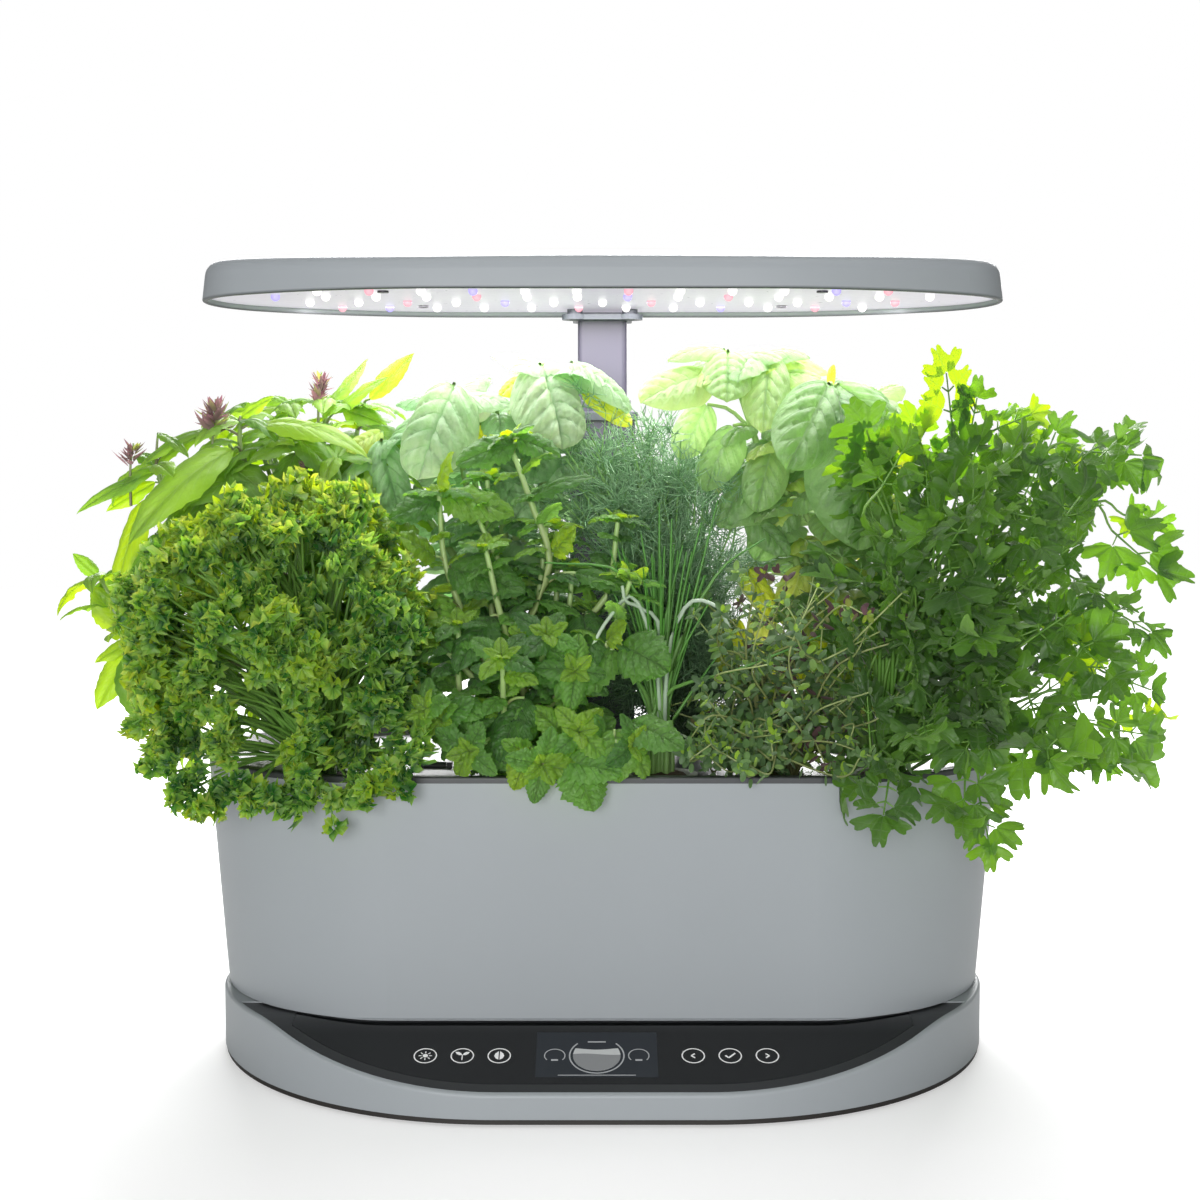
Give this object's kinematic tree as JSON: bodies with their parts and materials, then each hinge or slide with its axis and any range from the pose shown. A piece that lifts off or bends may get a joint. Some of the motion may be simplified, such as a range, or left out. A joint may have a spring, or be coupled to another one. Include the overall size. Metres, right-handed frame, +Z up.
{
  "type": "countertop hydroponic garden",
  "caption": "Countertop hydroponic garden: base with sloping touch panel, water bowl, planting deck with herb pods, and a grow light on a telescopic mast.",
  "frame": {"origin": "middle of the base's footprint, on the surface that it stands on", "axes": "+Z up, +Y to the back where the mast stands, +X to the right as seen from the control panel"},
  "size_m": [0.5988, 0.2874, 0.431],
  "materials": {
    "grey_shell": "satin moulded ABS, cool light grey",
    "dark_skirt": "fine matt dark brown-black",
    "black_rubber": "soft rubber",
    "screw_steel": "blackened steel",
    "panel_charcoal": "satin charcoal",
    "panel_gloss": "gloss black touch lens with white icons",
    "display_glass": "dark display behind the lens",
    "circuit_board": "green solder mask",
    "black_plastic": "moulded black",
    "foam_filter": "slotted cover with foam behind it",
    "stage_grey": "anodised grey",
    "collar_charcoal": "moulded charcoal",
    "glide_white": "acetal",
    "shaft_steel": "ground steel",
    "deck_charcoal": "satin charcoal",
    "pod_plastic": "light grey moulded basket",
    "float_white": "foamed plastic",
    "reflector_white": "white gloss reflector",
    "led_board_alu": "white-coated aluminium board",
    "led_warm": "lit white diode",
    "led_red": "lit red diode",
    "led_blue": "lit blue diode",
    "parsley_leaf": "living leaves",
    "mint_leaf": "living leaves",
    "chive_leaf": "living leaves",
    "thyme_leaf": "living leaves",
    "dill_leaf": "living leaves",
    "basil_leaf": "living leaves"
  },
  "bodies": {
    "base": {"base_housing": "grey_shell", "base_bottom_plate": "dark_skirt", "rubber_feet": "black_rubber", "base_screws": "screw_steel", "panel_bezel": "panel_charcoal", "panel_lens": "panel_gloss", "display_module": "display_glass", "control_board": "circuit_board", "power_jack": "black_plastic", "mast_outer": "stage_grey", "mast_outer_collar": "collar_charcoal"},
    "mast_mid": {"mast_mid": "stage_grey", "mast_mid_collar": "collar_charcoal", "mast_mid_glides": "glide_white"},
    "lamp": {"mast_inner": "stage_grey", "mast_inner_glides": "glide_white", "hood_bracket": "collar_charcoal", "bracket_screws": "screw_steel", "hood_shell": "grey_shell", "reflector_panel": "reflector_white", "reflector_screws": "screw_steel", "led_board": "led_board_alu", "white_leds": "led_warm", "red_leds": "led_red", "blue_leds": "led_blue"},
    "bowl": {"grow_bowl": "grey_shell", "pump_housing": "black_plastic", "pump_shaft": "shaft_steel", "riser_tube": "black_plastic"},
    "impeller": {"impeller": "black_plastic"},
    "filter": {"pump_filter": "foam_filter"},
    "deck": {"grow_deck": "deck_charcoal", "lid_pin": "shaft_steel", "float_guide": "deck_charcoal"},
    "fill_lid": {"fill_lid": "deck_charcoal"},
    "float": {"level_float": "float_white"},
    "pod_curly_parsley": {"pod_basket_curly_parsley": "pod_plastic", "herb_curly_parsley": "parsley_leaf"},
    "pod_mint": {"pod_basket_mint": "pod_plastic", "herb_mint": "mint_leaf"},
    "pod_chives": {"pod_basket_chives": "pod_plastic", "herb_chives": "chive_leaf"},
    "pod_thyme": {"pod_basket_thyme": "pod_plastic", "herb_thyme": "thyme_leaf"},
    "pod_flat_parsley": {"pod_basket_flat_parsley": "pod_plastic", "herb_flat_parsley": "parsley_leaf"},
    "pod_thai_basil": {"pod_basket_thai_basil": "pod_plastic", "herb_thai_basil": "basil_leaf"},
    "pod_sweet_basil": {"pod_basket_sweet_basil": "pod_plastic", "herb_sweet_basil": "basil_leaf"},
    "pod_dill": {"pod_basket_dill": "pod_plastic", "herb_dill": "dill_leaf"},
    "pod_leafy_basil": {"pod_basket_leafy_basil": "pod_plastic", "herb_leafy_basil": "basil_leaf"}
  },
  "joints": [
    {"name": "mast_mid_slide", "type": "slide", "parent": "base", "child": "mast_mid", "axis": [0, 0, 1], "range_m": [-0.005, 0.215]},
    {"name": "lamp_slide", "type": "slide", "parent": "mast_mid", "child": "lamp", "axis": [0, 0, 1], "range_m": [-0.005, 0.215]},
    {"name": "bowl_lift", "type": "slide", "parent": "base", "child": "bowl", "axis": [0, 0, 1], "range_m": [0, 0.012]},
    {"name": "deck_lift", "type": "slide", "parent": "bowl", "child": "deck", "axis": [0, 0, 1], "range_m": [0, 0.012]},
    {"name": "impeller_spin", "type": "hinge", "parent": "bowl", "child": "impeller", "pos_m": [0, -0.041, 0.041], "axis": [0, 1, 0], "continuous": true},
    {"name": "filter_pull", "type": "slide", "parent": "bowl", "child": "filter", "axis": [0, -1, 0], "range_m": [0, 0.015]},
    {"name": "fill_lid_hinge", "type": "hinge", "parent": "deck", "child": "fill_lid", "pos_m": [-0.09, -0.029, 0.157], "axis": [-1, 0, 0], "range_deg": [0, 95]},
    {"name": "float_slide", "type": "slide", "parent": "deck", "child": "float", "axis": [0, 0, 1], "range_m": [0, 0.025]},
    {"name": "pod_lift_curly_parsley", "type": "slide", "parent": "deck", "child": "pod_curly_parsley", "axis": [0, 0, 1], "range_m": [0, 0.06]},
    {"name": "pod_lift_mint", "type": "slide", "parent": "deck", "child": "pod_mint", "axis": [0, 0, 1], "range_m": [0, 0.055]},
    {"name": "pod_lift_chives", "type": "slide", "parent": "deck", "child": "pod_chives", "axis": [0, 0, 1], "range_m": [0, 0.06]},
    {"name": "pod_lift_thyme", "type": "slide", "parent": "deck", "child": "pod_thyme", "axis": [0, 0, 1], "range_m": [0, 0.06]},
    {"name": "pod_lift_flat_parsley", "type": "slide", "parent": "deck", "child": "pod_flat_parsley", "axis": [0, 0, 1], "range_m": [0, 0.06]},
    {"name": "pod_lift_thai_basil", "type": "slide", "parent": "deck", "child": "pod_thai_basil", "axis": [0, 0, 1], "range_m": [0, 0.015]},
    {"name": "pod_lift_sweet_basil", "type": "slide", "parent": "deck", "child": "pod_sweet_basil", "axis": [0, 0, 1], "range_m": [0, 0.012]},
    {"name": "pod_lift_dill", "type": "slide", "parent": "deck", "child": "pod_dill", "axis": [0, 0, 1], "range_m": [0, 0.04]},
    {"name": "pod_lift_leafy_basil", "type": "slide", "parent": "deck", "child": "pod_leafy_basil", "axis": [0, 0, 1], "range_m": [0, 0.012]}
  ],
  "couplings": [
    {"joint": "lamp_slide", "follows": "mast_mid_slide", "ratio": 1}
  ]
}
